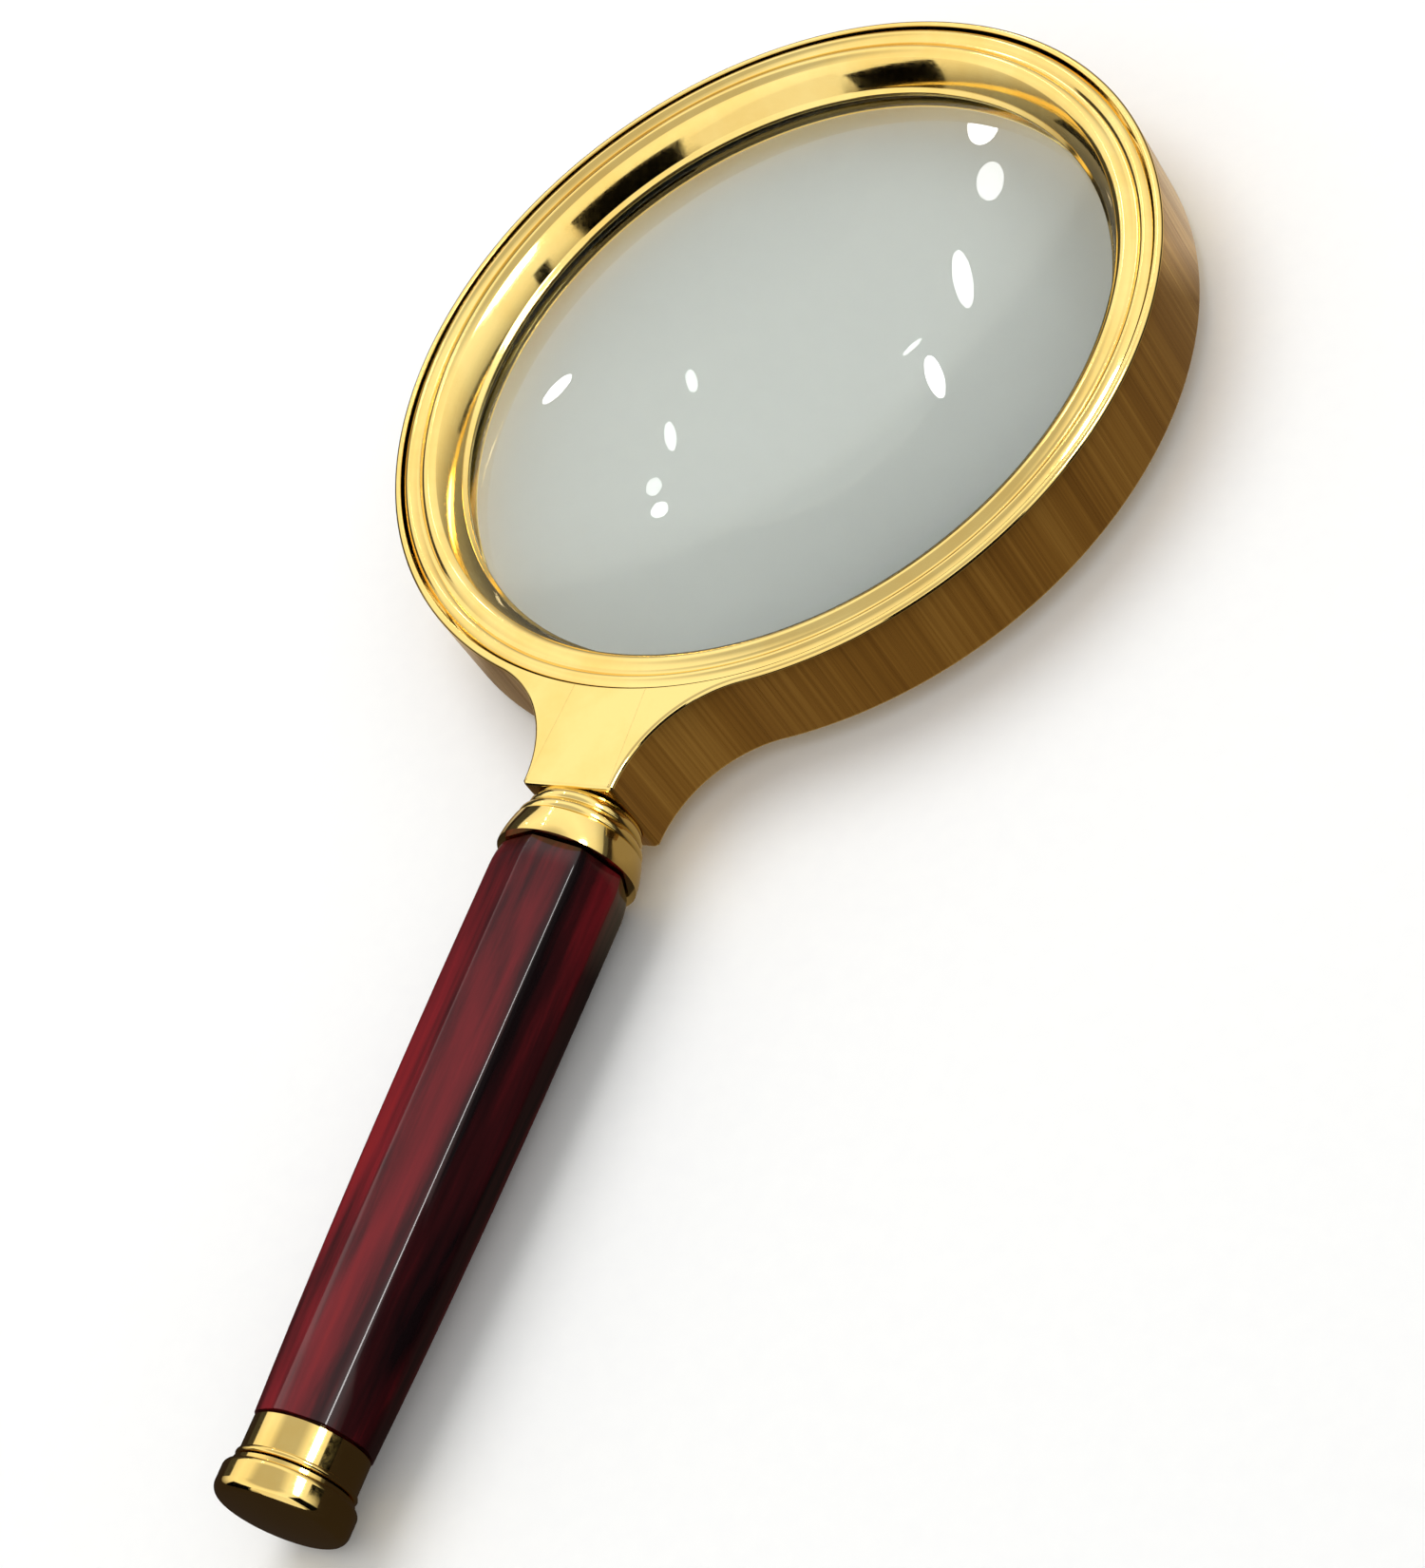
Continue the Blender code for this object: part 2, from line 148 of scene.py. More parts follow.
def bulge(inner, outer, foot, rise, steps):
    # a bead: half a sine wave of this rise between two radii
    t = np.linspace(0, 1, steps + 1)
    return np.stack([inner + (outer - inner) * t, foot + rise * np.sin(np.pi * t)], -1)


def turnedOnRing(name, outline, steps, materials, weld=False, closeV=True):
    # (radius, height) carried round the lens axis
    angle = np.linspace(0, 2 * np.pi, steps, endpoint=False)[:, None]
    radius, height = outline[None, :, 0], outline[None, :, 1]
    points = np.stack(
        [radius * np.cos(angle), ringY + radius * np.sin(angle), height + 0 * angle], -1
    )
    return gridMesh(name, points, True, closeV, materials, weld=weld)


def turnedOnHandle(name, outline, steps, startY, materials):
    # (radius, distance beyond startY towards the cap) carried round the handle's axis
    angle = np.linspace(0, 2 * np.pi, steps, endpoint=False)[:, None]
    radius, along = outline[None, :, 0], outline[None, :, 1]
    points = np.stack(
        [radius * np.sin(angle), startY - along + 0 * angle, axisZ + radius * np.cos(angle)], -1
    )
    return gridMesh(name, points, True, True, materials)


# Materials

def newMaterial(name):
    material = bpy.data.materials.new(name)
    material.use_nodes = True
    tree = material.node_tree
    return material, tree, tree.nodes["Principled BSDF"]


def addNode(tree, kind, **sockets):
    node = tree.nodes.new(kind)
    for key, value in sockets.items():
        socket = node.inputs[key.replace("_", " ")]
        if isinstance(value, bpy.types.NodeSocket):
            tree.links.new(value, socket)
        else:
            socket.default_value = value
    return node


def objectPlace(tree, centre=(0, 0, 0), turn=(0, 0, 0), scale=(1, 1, 1)):
    # the piece's own coordinates, centred, turned and stretched, in metres times scale
    place = tree.nodes.new("ShaderNodeTexCoord").outputs["Object"]
    moved = addNode(tree, "ShaderNodeVectorMath", Vector=place).outputs[0].node
    moved.operation = "SUBTRACT"
    moved.inputs[1].default_value = centre
    mapping = addNode(tree, "ShaderNodeMapping", Vector=moved.outputs[0])
    mapping.inputs["Rotation"].default_value = turn
    mapping.inputs["Scale"].default_value = scale
    return mapping.outputs["Vector"]


def noise(tree, place, scale, detail=4.0, roughness=0.5, distortion=0.0):
    return addNode(
        tree, "ShaderNodeTexNoise", Vector=place, Scale=scale, Detail=detail,
        Roughness=roughness, Distortion=distortion,
    ).outputs["Fac"]


def ramp(tree, factor, stops):
    node = addNode(tree, "ShaderNodeValToRGB", Fac=factor)
    elements = node.color_ramp.elements
    while len(elements) < len(stops):
        elements.new(0.5)
    for element, (position, colour) in zip(elements, stops):
        element.position = position
        element.color = (*colour, 1.0)
    return node.outputs["Color"]


def grey(value):
    return (value, value, value)


def twoTones(tree, factor, places, first, second):
    return ramp(tree, factor, [(places[0], first), (places[1], second)])


def mixColours(tree, factor, first, second):
    node = tree.nodes.new("ShaderNodeMix")
    node.data_type = "RGBA"
    for socket, value in ((node.inputs[0], factor), (node.inputs[6], first), (node.inputs[7], second)):
        if isinstance(value, bpy.types.NodeSocket):
            tree.links.new(value, socket)
        else:
            socket.default_value = value if isinstance(value, float) else (*value, 1.0)
    return node.outputs[2]


def maths(tree, operation, first, second):
    node = tree.nodes.new("ShaderNodeMath")
    node.operation = operation
    for socket, value in zip(node.inputs, (first, second)):
        if isinstance(value, bpy.types.NodeSocket):
            tree.links.new(value, socket)
        else:
            socket.default_value = value
    return node.outputs[0]


def bump(tree, shader, height, strength, distance):
    node = addNode(tree, "ShaderNodeBump", Height=height, Strength=strength, Distance=distance)
    tree.links.new(node.outputs["Normal"], shader.inputs["Normal"])


# in every finish, a pattern is the noise's scale, detail, roughness and distortion
gilt = {
    "bright": (0.95, 0.73, 0.27),
    "deep": (0.88, 0.60, 0.17),
    "clouds": (60.0, 5.0, 0.6),
    "cloudPlaces": (0.30, 0.62),
    "scuffs": (900.0, 6.0, 0.7, 1.5),
    "scuffPlaces": (0.35, 0.70),
    "polish": (0.05, 0.13),
    "turnedLines": 9000.0,  # fine lines left by turning, per metre of radius
    "turnedDetail": 2.0,
    "waves": (350.0, 3.0),
    "waveShare": 0.35,
    "lineHeight": 0.000004,
    "castLines": 0.25,
    "beadLines": 0.6,
}


def polishedGilt(name, lineStrength):
    # yellow gold plate: faint clouds of tone, hairline scratches and turned lines round the ring
    material, tree, shader = newMaterial(name)
    place = objectPlace(tree, centre=ringPlace)
    cloud = noise(tree, place, *gilt["clouds"])
    tone = twoTones(tree, cloud, gilt["cloudPlaces"], gilt["deep"], gilt["bright"])
    tree.links.new(tone, shader.inputs["Base Color"])
    shader.inputs["Metallic"].default_value = 1.0
    scuff = noise(tree, place, *gilt["scuffs"])
    low, high = gilt["polish"]
    wear = twoTones(tree, scuff, gilt["scuffPlaces"], grey(low), grey(high))
    tree.links.new(wear, shader.inputs["Roughness"])
    flat = addNode(tree, "ShaderNodeVectorMath", Vector=place)
    flat.operation = "MULTIPLY"
    flat.inputs[1].default_value = (1.0, 1.0, 0.0)
    distance = addNode(tree, "ShaderNodeVectorMath", Vector=flat.outputs[0])
    distance.operation = "LENGTH"
    lines = tree.nodes.new("ShaderNodeTexNoise")
    lines.noise_dimensions = "1D"
    lines.inputs["Scale"].default_value = gilt["turnedLines"]
    lines.inputs["Detail"].default_value = gilt["turnedDetail"]
    tree.links.new(distance.outputs["Value"], lines.inputs["W"])
    waves = noise(tree, place, *gilt["waves"])
    relief = mixColours(tree, gilt["waveShare"], lines.outputs["Color"], waves)
    bump(tree, shader, relief, lineStrength, gilt["lineHeight"])
    return material


brushedAndShaded = {
    # painted reflection: these dark to light brown tones stand in for the dark surroundings that the
    # side mirrors
    "dark": (0.24, 0.115, 0.025),
    "mid": (0.46, 0.26, 0.062),
    "light": (0.74, 0.48, 0.14),
    "tonePlaces": (0.30, 0.50, 0.70),
    "streaks": (2400.0, 2400.0, 14.0),  # fine round the ring, long down its side
    "streakPattern": (1.0, 4.0, 0.65),
    "streakShare": 0.45,
    "bands": (160.0, 160.0, 3.0),
    "bandPattern": (1.0, 4.0, 0.6),
    "bandShare": 0.55,
    "roughness": (0.14, 0.32),
    "roughPlaces": (0.3, 0.7),
    "strength": 0.55,
    "depth": 0.00002,
}


def brushedShadedGilt(name):
    # the side of the ring and neck, drawn in the mould: streaks run along the lens axis; its dark
    # brown tones are painted reflection, a shaded copy of the gold
    material, tree, shader = newMaterial(name)
    streaked = objectPlace(tree, scale=brushedAndShaded["streaks"])
    fine = noise(tree, streaked, *brushedAndShaded["streakPattern"])
    banded = objectPlace(tree, scale=brushedAndShaded["bands"])
    broad = noise(tree, banded, *brushedAndShaded["bandPattern"])
    mixed = maths(tree, "MULTIPLY_ADD", fine, brushedAndShaded["streakShare"])
    bands = maths(tree, "MULTIPLY", broad, brushedAndShaded["bandShare"])
    tree.links.new(bands, mixed.node.inputs[2])
    tones = (brushedAndShaded["dark"], brushedAndShaded["mid"], brushedAndShaded["light"])
    stops = list(zip(brushedAndShaded["tonePlaces"], tones))
    tree.links.new(ramp(tree, mixed, stops), shader.inputs["Base Color"])
    shader.inputs["Metallic"].default_value = 1.0
    low, high = brushedAndShaded["roughness"]
    gloss = twoTones(tree, fine, brushedAndShaded["roughPlaces"], grey(high), grey(low))
    tree.links.new(gloss, shader.inputs["Roughness"])
    bump(tree, shader, fine, brushedAndShaded["strength"], brushedAndShaded["depth"])
    return material


rosewood = {
    "black": (0.006, 0.002, 0.003),
    "brown": (0.040, 0.004, 0.006),
    "burgundy": (0.165, 0.008, 0.013),
    "red": (0.290, 0.012, 0.013),
    "tonePlaces": (0.39, 0.47, 0.56, 0.66),
    "grain": (330.0, 24.0, 330.0),  # fine across the handle, long down it
    "grainPattern": (1.0, 6.0, 0.62, 0.4),
    "grainShare": 0.30,
    "figure": (75.0, 9.0, 75.0),
    "figurePattern": (1.0, 4.0, 0.55, 0.9),
    "figureShare": 0.72,
    "slant": math.radians(13),
    "shadeAcross": -9.0,  # painted shade: darker towards +X, the side turned from the light, per metre
    "shift": (0.013, 0.004, 0.021),
    "roughness": (0.42, 0.28),
    "roughPlaces": (0.3, 0.7),
    "specular": 0.06,
    "coat": 0.7,
    "coatRoughness": 0.045,
    "coatBending": 1.5,
    "ripples": (220.0, 3.0),
    "grainInRelief": 0.25,
    "reliefStrength": 0.12,
    "poreDepth": 0.00002,
}


def rosewoodLacquer(name):
    # dark figured wood under deep red lacquer
    material, tree, shader = newMaterial(name)
    turn = (0.0, 0.0, rosewood["slant"])
    shift = rosewood["shift"]
    grainPlace = objectPlace(tree, centre=shift, turn=turn, scale=rosewood["grain"])
    grain = noise(tree, grainPlace, *rosewood["grainPattern"])
    figurePlace = objectPlace(tree, centre=shift, turn=turn, scale=rosewood["figure"])
    figure = noise(tree, figurePlace, *rosewood["figurePattern"])
    # painted shade: the wood is darkened towards +X, where the handle's side is turned from the light,
    # and the grain is added on top
    across = addNode(tree, "ShaderNodeSeparateXYZ", Vector=objectPlace(tree)).outputs["X"]
    shadeAndGrain = maths(tree, "MULTIPLY_ADD", across, rosewood["shadeAcross"])
    grained = maths(tree, "MULTIPLY", grain, rosewood["grainShare"])
    tree.links.new(grained, shadeAndGrain.node.inputs[2])
    mixed = maths(tree, "MULTIPLY_ADD", figure, rosewood["figureShare"])
    tree.links.new(shadeAndGrain, mixed.node.inputs[2])
    tones = (rosewood["black"], rosewood["brown"], rosewood["burgundy"], rosewood["red"])
    stops = list(zip(rosewood["tonePlaces"], tones))
    tree.links.new(ramp(tree, mixed, stops), shader.inputs["Base Color"])
    dull, glossy = rosewood["roughness"]
    roughness = twoTones(tree, grain, rosewood["roughPlaces"], grey(dull), grey(glossy))
    tree.links.new(roughness, shader.inputs["Roughness"])
    shader.inputs["Coat Weight"].default_value = rosewood["coat"]
    shader.inputs["Specular IOR Level"].default_value = rosewood["specular"]
    shader.inputs["Coat Roughness"].default_value = rosewood["coatRoughness"]
    shader.inputs["Coat IOR"].default_value = rosewood["coatBending"]
    ripple = noise(tree, objectPlace(tree), *rosewood["ripples"])
    height = mixColours(tree, rosewood["grainInRelief"], ripple, grain)
    bump(tree, shader, height, rosewood["reliefStrength"], rosewood["poreDepth"])
    return material


glass = {
    "tint": (0.92, 0.965, 0.945, 1.0),
    "bending": 1.52,  # how strongly it refracts
    "wipes": (1.0, 2.4, 1.0),
    "wipePattern": (45.0, 5.0, 0.6, 1.0),
    "hazePlaces": (0.45, 0.85),
    "haze": (0.0, 0.035),
}


def clearGlass(name):
    # optical glass with a trace of green and faint wipe marks
    material, tree, shader = newMaterial(name)
    shader.inputs["Base Color"].default_value = glass["tint"]
    shader.inputs["Transmission Weight"].default_value = 1.0
    shader.inputs["IOR"].default_value = glass["bending"]
    smear = noise(tree, objectPlace(tree, scale=glass["wipes"]), *glass["wipePattern"])
    low, high = glass["haze"]
    haze = twoTones(tree, smear, glass["hazePlaces"], grey(low), grey(high))
    tree.links.new(haze, shader.inputs["Roughness"])
    return material


steel = {
    "dark": (0.36, 0.36, 0.38),
    "light": (0.62, 0.62, 0.63),
    "spangle": (700.0, 5.0, 0.6),
    "places": (0.3, 0.7),
    "roughness": (0.42, 0.24),
    "strength": 0.2,
    "depth": 0.00002,
}


def zincedSteel(name):
    # spangled grey zinc, duller where it is darker
    material, tree, shader = newMaterial(name)
    spots = noise(tree, objectPlace(tree), *steel["spangle"])
    tone = twoTones(tree, spots, steel["places"], steel["dark"], steel["light"])
    tree.links.new(tone, shader.inputs["Base Color"])
    shader.inputs["Metallic"].default_value = 1.0
    dull, bright = steel["roughness"]
    gloss = twoTones(tree, spots, steel["places"], grey(dull), grey(bright))
    tree.links.new(gloss, shader.inputs["Roughness"])
    bump(tree, shader, spots, steel["strength"], steel["depth"])
    return material


rubber = {
    "tones": (0.012, 0.030),
    "places": (0.3, 0.7),
    "grain": (1500.0, 4.0, 0.6),
    "roughness": 0.7,
    "strength": 0.3,
    "depth": 0.00003,
}


def blackRubber(name):
    # matt black with a fine moulded grain
    material, tree, shader = newMaterial(name)
    grainy = noise(tree, objectPlace(tree), *rubber["grain"])
    dark, light = rubber["tones"]
    tone = twoTones(tree, grainy, rubber["places"], grey(dark), grey(light))
    tree.links.new(tone, shader.inputs["Base Color"])
    shader.inputs["Roughness"].default_value = rubber["roughness"]
    bump(tree, shader, grainy, rubber["strength"], rubber["depth"])
    return material


giltPolished = polishedGilt("gilt_polished", gilt["castLines"])
giltTurned = polishedGilt("gilt_turned", gilt["beadLines"])
giltBrushedShaded = brushedShadedGilt("gilt_brushed_shaded")
woodLacquered = rosewoodLacquer("rosewood_lacquered")
glassClear = clearGlass("glass_clear")
steelZinced = zincedSteel("steel_zinced")
rubberBlack = blackRubber("rubber_black")
print("materials made")


# Ring and neck

body = {
    "rimWall": 0.9 * mm,
    "edgeRound": 0.5 * mm,
    "rearMouth": 43.4 * mm,
    "sight": 41.3 * mm,
    "rearLip": 2.5 * mm,
    "lensGap": 0.3 * mm,
    "shoulderDrop": 0.3 * mm,  # below the bezel's foot
    "neckHalfWidth": 6.1 * mm,
    "flareRadius": 15.5 * mm,
    "endCorner": 0.7 * mm,
    "crease": 0.1 * mm,
    "rimRound": 0.15 * mm,
    "mouthRound": 0.4 * mm,
    "faceInset": 1.1,  # of edgeRound, where the flat faces stop
    "ringSteps": 420,
    "flareSteps": 40,
    "flankSteps": 6,
    "cornerSteps": 8,
    "endSteps": 12,
    "faceRows": 8,
    "edgeRows": 9,
    "sideRows": 9,
}


def bodyOutline(radius, neckReach):
    # seen along the lens axis from its middle: the ring's arc, then down one hollow flank of
    # the neck, across its square end with two rounded corners, and up the other flank.
    # Gives the points and the directions that point outwards from them
    half, flare = body["neckHalfWidth"], body["flareRadius"]
    centreX = half + flare
    centreY = -math.sqrt((radius + flare) ** 2 - centreX**2)
    touch = math.atan2(centreY, centreX)
    angle = np.linspace(touch, touch + 2 * (math.pi / 2 - touch), body["ringSteps"])
    ringOut = np.stack([np.cos(angle), np.sin(angle)], -1)
    ring = radius * ringOut
    sweep = np.linspace(touch + math.pi, math.pi, body["flareSteps"] + 1)[1:]
    flankOut = -np.stack([np.cos(sweep), np.sin(sweep)], -1)
    flank = np.array([centreX, centreY]) - flare * flankOut
    corner = body["endCorner"]
    straight = np.linspace(0, 1, body["flankSteps"])[1:, None]
    top = flank[-1]
    side = top + straight * (np.array([half, -neckReach + corner]) - top)
    sideOut = np.repeat([[1.0, 0.0]], len(side), 0)
    bend = np.linspace(0, -math.pi / 2, body["cornerSteps"])[1:]
    bendOut = np.stack([np.cos(bend), np.sin(bend)], -1)
    turn = np.array([half - corner, -neckReach + corner]) + corner * bendOut
    across = np.linspace(half - corner, 0, body["endSteps"] + 1)[1:]
    end = np.stack([across, np.full(len(across), -neckReach)], -1)
    endOut = np.repeat([[0.0, -1.0]], len(end), 0)
    right = np.concatenate([flank, side, turn, end])
    rightOut = np.concatenate([flankOut, sideOut, bendOut, endOut])
    flip = np.array([-1.0, 1.0])
    points = np.concatenate([ring, right[:-1] * flip, right[::-1]])
    outwards = np.concatenate([ringOut, rightOut[:-1] * flip, rightOut[::-1]])
    return points, outwards


def makeBody():
    # every row of the section lies between a circle round the lens axis and the outline moved
    # inwards: share 0 is on the circle, share 1 on the outline
    radius = bodyHigh[0]
    points, outwards = bodyOutline(radius, ringY - bodyLow[1])
    angle = np.arctan2(points[:, 1], points[:, 0])
    rim, back = bodyHigh[2], bodyLow[2]
    edge = body["edgeRound"]
    pocket = radius - body["rimWall"]
    ledge = back + body["rearLip"]
    shoulder = bezelLow[2] - body["shoulderDrop"]
    lensPocket = lensHigh[0] + body["lensGap"]
    rows = []  # share, inset, circle radius, height, material

    def circleRows(outline):
        rows.extend((0.0, 0.0, r, h, 0) for r, h in outline)

    crease, rimRound = body["crease"], body["rimRound"]
    mouth = [
        (lensPocket, ledge, crease), (lensPocket, shoulder, crease),
        (pocket, shoulder, crease), (pocket, rim, rimRound),
    ]
    outside = [(radius, rim, crease), (radius, back, crease)]
    rear = [
        (body["rearMouth"] + edge, back, body["mouthRound"]),
        (body["sight"], ledge - edge, rimRound), (body["sight"], ledge, crease),
    ]
    circle = roundedOutline(mouth + outside + rear)
    perCorner = len(circle) // len(mouth + outside + rear)
    mouthRows = circle[: len(mouth) * perCorner]
    rearRows = circle[len(mouth + outside) * perCorner :]
    circleRows(mouthRows)
    start, finish = mouthRows[-1, 0], rearRows[0, 0]
    faceInset = edge * body["faceInset"]
    shares = np.linspace(0, 1, body["faceRows"])
    rows.extend((share, faceInset, start, rim, 0) for share in shares[1:])
    turns = np.linspace(0, math.pi / 2, body["edgeRows"])
    for a in turns[:-1]:
        rows.append((1.0, edge * (1 - math.sin(a)), start, rim - edge * (1 - math.cos(a)), 0))
    sides = np.linspace(rim - edge, back + edge, body["sideRows"])
    # the side rows take the second, darker gold, whose brown is painted reflection
    rows.extend((1.0, 0.0, start, h, 1) for h in sides)
    for a in turns[1:]:
        rows.append((1.0, edge * (1 - math.cos(a)), start, back + edge * (1 - math.sin(a)), 0))
    sharesBack = np.linspace(1, 0, body["faceRows"])
    rows.extend((share, faceInset, finish, back, 0) for share in sharesBack[:-1])
    circleRows(rearRows)
    share, inset, circleRadius, height, material = (np.array(c) for c in zip(*rows))
    inner = circleRadius[None, :, None] * np.stack([np.cos(angle), np.sin(angle)], -1)[:, None]
    outer = points[:, None] - inset[None, :, None] * outwards[:, None]
    flat = (1 - share)[None, :, None] * inner + share[None, :, None] * outer
    heights = np.broadcast_to(height[None, :, None], (*flat.shape[:2], 1))
    place = np.concatenate([flat, heights], -1) + ringPlace
    thing = gridMesh(
        "ring_and_neck", place, True, True, [giltPolished, giltBrushedShaded], rowMaterial=material
    )
    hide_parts("frame_body")
    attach(thing, "magnifier")


makeBody()
print("ring and neck made")


# Front bezel

bezel = {
    "sight": 41.3 * mm,
    "mouth": 43.4 * mm,
    "grooveDepth": 0.5 * mm,
    "outerBead": 1.8 * mm,
    "grooveWidth": 0.4 * mm,
    "sightLip": 0.5 * mm,
    "footRound": 0.15 * mm,
    "lipRound": 0.1 * mm,
    "beadSteps": 18,
    "steps": 480,
}


def makeBezel():
    # two beads across the front, down the outer side, across the foot and up the conical
    # inner wall, all carried round the lens axis
    radius, foot, crest = bezelHigh[0], bezelLow[2], bezelHigh[2]
    depth = bezel["grooveDepth"]
    groove = radius - bezel["outerBead"]
    beads = np.concatenate([
        bulge(bezel["mouth"], groove - bezel["grooveWidth"], crest - depth, depth, bezel["beadSteps"]),
        bulge(groove, radius, crest - depth, depth, bezel["beadSteps"]),
    ])
    lip, lipRound = bezel["sightLip"], bezel["lipRound"]
    below = roundedOutline([
        (radius, crest - depth, 0.0), (radius, foot, bezel["footRound"]),
        (bezel["sight"], foot, lipRound), (bezel["sight"], foot + lip, lipRound),
        (bezel["sight"] + lip, foot + 2 * lip, lipRound), (bezel["mouth"], crest - depth, 0.0),
    ], closed=False)[1:-1]
    outline = np.concatenate([beads, below])
    thing = turnedOnRing("bezel_ring", outline, bezel["steps"], [giltTurned])
    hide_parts("front_bezel")
    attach(thing, "magnifier")


makeBezel()
print("bezel made")


# Lens and its gasket

lens = {
    "surfaceRadius": 260 * mm,
    "edgeChamfer": 0.25 * mm,
    "chamferDrop": 0.6,  # of the chamfer's width
    "rings": 60,
    "steps": 256,
}


def makeLens():
    # two shallow domes of one sphere radius, joined by the ground edge with small chamfers
    radius, low, high = lensHigh[0], lensLow[2], lensHigh[2]
    sphere, chamfer = lens["surfaceRadius"], lens["edgeChamfer"]
    reach = radius - chamfer
    r = np.linspace(0, reach, lens["rings"])
    fall = sphere - np.sqrt(sphere**2 - r**2)
    front = np.stack([r, high - fall], -1)
    back = np.stack([r, low + fall], -1)[::-1]
    ease = chamfer * lens["chamferDrop"]
    edge = np.array([(radius, front[-1, 1] - ease), (radius, back[0, 1] + ease)])
    outline = np.concatenate([front, edge, back])
    thing = turnedOnRing("lens_glass_disc", outline, lens["steps"], [glassClear], True, False)
    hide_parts("lens")
    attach(thing, "magnifier")


gasket = {
    "width": 2.4 * mm,
    "edgeRound": 0.15 * mm,
    "steps": 192,
}


def makeGasket():
    # a flat band with rounded edges, carried round the lens axis
    low, high, outer = gasketLow[2], gasketHigh[2], gasketHigh[0]
    inner, edge = outer - gasket["width"], gasket["edgeRound"]
    outline = roundedOutline([
        (inner, low, edge), (inner, high, edge), (outer, high, edge), (outer, low, edge),
    ])
    thing = turnedOnRing("gasket_ring", outline, gasket["steps"], [rubberBlack])
    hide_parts("lens_gasket")
    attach(thing, "magnifier")


makeLens()
makeGasket()
print("lens and gasket made")


# Handle

handle = {
    "corner": 7.95 * mm,
    "endCorner": 7.0 * mm,
    "round": 8.0 * mm,
    "endRound": 6.65 * mm,
    "taperPower": 2.3,
    "topEase": 0.4 * mm,
    "topEaseLength": 3.0 * mm,
    "blend": 0.13 * mm,  # how softly the corners turn into the rounding
    "tenon": 5.2 * mm,
    "tenonLength": 3.0 * mm,
    "tenonEdge": 0.2 * mm,
    "facets": 8,
    "easeFrom": 0.05,  # first extra row, as a share of topEaseLength
    "easeSteps": 12,
    "aroundSteps": 320,
    "alongSteps": 180,
}


def makeHandle():
    # at each angle and distance the radius is the softer of an eight-sided bar, with its
    # corners on top and at the sides, and a round bar, both tapering faster and faster
    length = (handleHigh[1] - handleLow[1]) - 2 * handle["tenonLength"]
    startY = handleHigh[1] - handle["tenonLength"]
    angle = np.linspace(0, 2 * np.pi, handle["aroundSteps"], endpoint=False)[:, None]
    share = np.linspace(0, 1, handle["alongSteps"])[None]
    extra = np.linspace(handle["easeFrom"], 1, handle["easeSteps"])[None]
    extra = handle["topEaseLength"] / length * extra
    share = np.sort(np.concatenate([share, extra], 1))
    taper = share ** handle["taperPower"]
    ease = handle["topEase"] * np.clip(1 - share * length / handle["topEaseLength"], 0, 1) ** 2
    corner = handle["corner"] - (handle["corner"] - handle["endCorner"]) * taper - ease
    turned = handle["round"] - (handle["round"] - handle["endRound"]) * taper - ease
    facet = 2 * math.pi / handle["facets"]
    sided = corner * math.cos(facet / 2) / np.cos(angle % facet - facet / 2)
    soft = handle["blend"]
    radius = -soft * np.logaddexp(-sided / soft, -turned / soft)
    along = np.broadcast_to(share * length, radius.shape)
    tenon, tenonLength, bevel = handle["tenon"], handle["tenonLength"], handle["tenonEdge"]

    def roundRows(pairs):
        # the same radius and distance at every angle
        radii, distances = np.array(pairs).T
        size = (len(angle), len(pairs))
        return np.broadcast_to(radii, size), np.broadcast_to(distances, size)

    headRadius, headAlong = roundRows([
        (boreRadius, -tenonLength), (tenon - bevel, -tenonLength),
        (tenon, bevel - tenonLength), (tenon, 0.0),
    ])
    footRadius, footAlong = roundRows([
        (tenon, length), (tenon, length + tenonLength - bevel),
        (tenon - bevel, length + tenonLength), (boreRadius, length + tenonLength),
    ])
    radius = np.concatenate([headRadius, radius, footRadius], 1)
    along = np.concatenate([headAlong, along, footAlong], 1)
    points = np.stack([radius * np.sin(angle), startY - along, axisZ + radius * np.cos(angle)], -1)
    thing = gridMesh("handle_wood", points, True, True, [woodLacquered])
    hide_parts("handle_sleeve")
    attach(thing, "magnifier")


makeHandle()
print("handle made")


# Ferrule, collar, washer, cap and tie rod

ferrule = {
    "neckRadius": 6.2 * mm,
    "handleRadius": 8.15 * mm,
    "beads": 2,
    "beadWidth": 1.6 * mm,
    "beadRise": 0.25 * mm,
    "groove": 0.38 * mm,
    "beadSteps": 17,
    "steps": 256,
}


def makeFerrule():
    # narrow beads that grow from the neck, with a groove before each, then a broad band
    length = ferruleHigh[1] - ferruleLow[1]
    grown = (ferrule["handleRadius"] - ferrule["neckRadius"]) / (ferrule["beads"] + 1)
    t = np.linspace(0, 1, ferrule["beadSteps"])[1:]
    parts = [np.array([[boreRadius, 0.0], [ferrule["neckRadius"], 0.0]])]
    for i in range(ferrule["beads"]):
        foot = ferrule["neckRadius"] + i * grown
        swell = np.sin(np.pi * t)
        radius = foot + grown * t**2 + ferrule["beadRise"] * swell
        radius -= ferrule["groove"] * (1 - np.sqrt(np.clip(swell, 0, 1)))
        parts.append(np.stack([radius, ferrule["beadWidth"] * (i + t)], -1))
    start = ferrule["beads"] * ferrule["beadWidth"]
    radius = ferrule["handleRadius"] - grown + grown * np.sin(np.pi / 2 * t)
    parts.append(np.stack([radius, start + (length - start) * t], -1))
    recess = handle["tenon"] + recessGap
    depth = handle["tenonLength"] + recessGap
    parts.append(np.array([
        [recess, length], [recess, length - depth], [boreRadius, length - depth],
    ]))
    thing = turnedOnHandle(
        "ferrule_rings", np.concatenate(parts), ferrule["steps"], ferruleHigh[1], [giltPolished]
    )
    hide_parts("ferrule")
    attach(thing, "magnifier")


collar = {
    "radius": 6.5 * mm,
    "beadRise": 0.25 * mm,
    "beadWidth": 0.7 * mm,
    "beadFullness": 0.6,  # below 1 the bead is squarer than a sine wave
    "beadSteps": 17,
    "edge": 0.12 * mm,
    "steps": 256,
}


